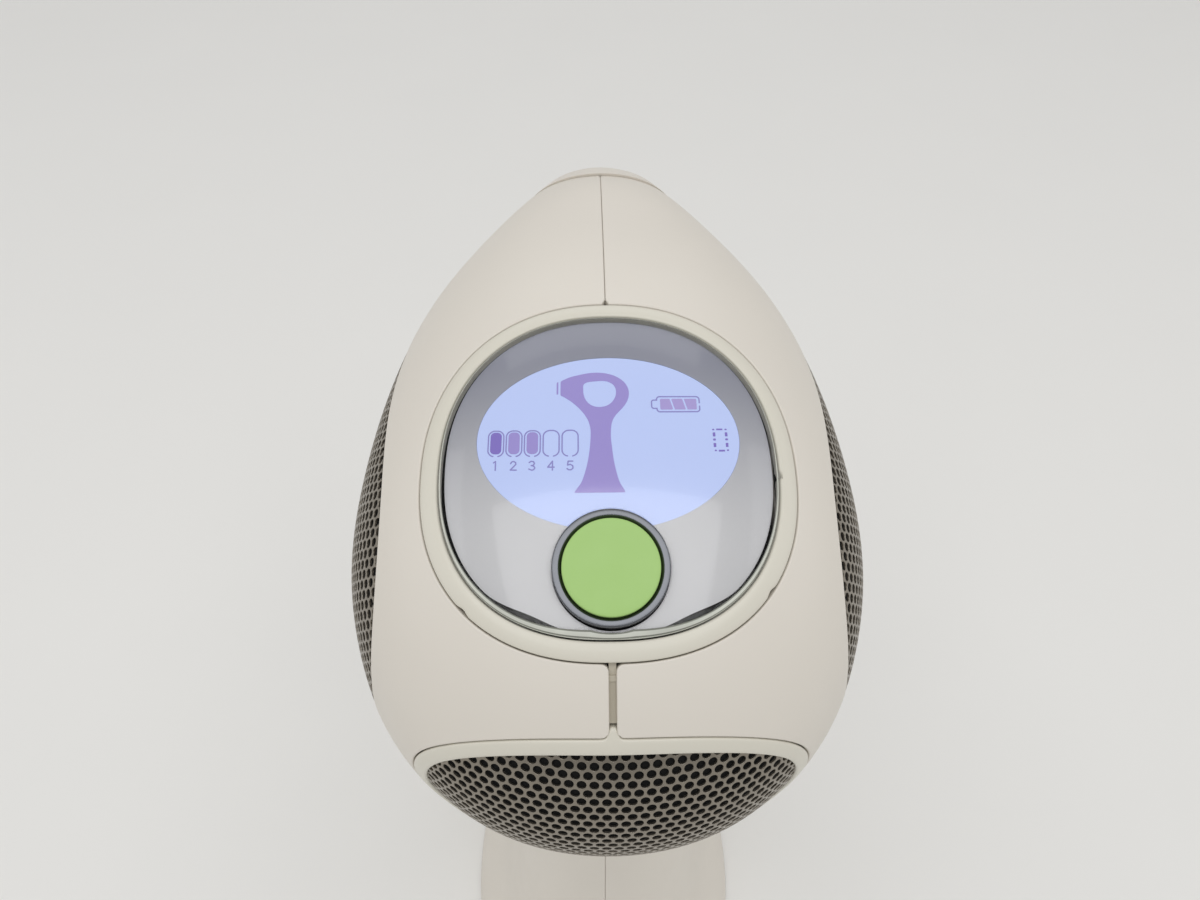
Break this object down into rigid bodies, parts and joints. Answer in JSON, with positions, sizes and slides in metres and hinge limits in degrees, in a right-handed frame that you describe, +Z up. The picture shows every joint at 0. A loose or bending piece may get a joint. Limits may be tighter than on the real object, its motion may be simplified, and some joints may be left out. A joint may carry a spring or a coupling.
{
  "type": "ipl hair remover",
  "caption": "Cordless light-based hair remover with a rounded head, display window, press button, perforated grilles, sprung contact ring and flared foot it stands on.",
  "frame": {"origin": "centre of the foot's underside, at the mouth of the charging recess", "axes": "+Z up along the handle, +Y towards the nose, +X to the right seen from the display side"},
  "size_m": [0.0774, 0.1209, 0.2002],
  "materials": {
    "shell_plastic": "satin moulded ABS, warm off-white",
    "seam_plastic": "matt moulded plastic, warm grey",
    "window_plastic": "clear moulded acrylic, polished",
    "deck_plastic": "silver-grey printed deck, satin",
    "display_glass": "lit pale blue liquid crystal panel",
    "backlight_plastic": "white light guide",
    "circuit_board": "solder-masked glass-fibre board",
    "button_plastic": "satin green moulded plastic",
    "bright_ring": "chromed ring, polished",
    "inner_plastic": "black-grey moulded plastic",
    "grille_metal": "pressed perforated sheet, grey-brown metallic paint",
    "ring_plastic": "polished light grey plastic",
    "spring_steel": "plain spring steel",
    "lamp_glass": "clear quartz",
    "filter_glass": "amber cut-off filter glass",
    "reflector_metal": "bright anodised aluminium sheet",
    "heat_sink_metal": "extruded aluminium",
    "can_metal": "drawn can, plain",
    "contact_metal": "plated brass",
    "screw_steel": "zinc-plated steel",
    "base_plastic": "matt moulded ABS, warm grey",
    "foot_rubber": "matt grey rubber sheet"
  },
  "bodies": {
    "housing": {"left_shell": "shell_plastic", "right_shell": "shell_plastic", "display_bezel": "shell_plastic", "rear_grille_frame": "shell_plastic", "tip_frame": "shell_plastic", "rear_seam_strip": "seam_plastic", "display_window": "window_plastic", "display_deck": "deck_plastic", "lcd_panel": "display_glass", "lcd_backlight": "backlight_plastic", "display_board": "circuit_board", "button_ring": "bright_ring", "button_guide": "inner_plastic", "button_switch": "inner_plastic", "button_board": "circuit_board", "rear_grille": "grille_metal", "left_side_grille": "grille_metal", "right_side_grille": "grille_metal", "ring_spring_left": "spring_steel", "ring_spring_right": "spring_steel", "ring_sensor": "inner_plastic", "light_duct": "inner_plastic", "tip_window": "lamp_glass", "light_filter": "filter_glass", "reflector": "reflector_metal", "flash_lamp": "lamp_glass", "lamp_holder": "inner_plastic", "heat_sink": "heat_sink_metal", "storage_capacitor": "can_metal", "fan_frame": "inner_plastic", "fan_screw_upper": "screw_steel", "fan_screw_lower": "screw_steel", "chassis_web": "inner_plastic", "driver_board": "circuit_board", "trigger_transformer": "inner_plastic", "buzzer": "inner_plastic", "shell_screw_front": "screw_steel", "shell_screw_rear": "screw_steel", "battery_cradle": "inner_plastic", "battery_cell": "can_metal", "battery_contact_lower": "contact_metal", "battery_contact_upper": "contact_metal", "battery_cap": "inner_plastic", "main_board": "circuit_board", "charge_board": "circuit_board", "base_plate": "base_plastic", "foot_pad": "foot_rubber", "charge_contact_left": "contact_metal", "charge_contact_right": "contact_metal", "base_screw_left": "screw_steel", "base_screw_right": "screw_steel"},
    "button": {"power_button": "button_plastic", "switch_plunger": "inner_plastic"},
    "contact_frame": {"contact_ring": "ring_plastic", "ring_magnet": "spring_steel"},
    "fan": {"fan_rotor": "inner_plastic"}
  },
  "joints": [
    {"name": "button_press", "type": "slide", "parent": "housing", "child": "button", "axis": [0, 0.4324, -0.9017], "range_m": [0, 0.0008], "stiffness_N_per_m": 1200},
    {"name": "contact_press", "type": "slide", "parent": "housing", "child": "contact_frame", "axis": [0, -1, 0], "range_m": [0, 0.0015], "stiffness_N_per_m": 800, "deforming": ["ring_spring_left", "ring_spring_right"]},
    {"name": "fan_spin", "type": "hinge", "parent": "housing", "child": "fan", "pos_m": [0.006, -0.001, 0.162], "axis": [1, 0, 0], "continuous": true}
  ]
}
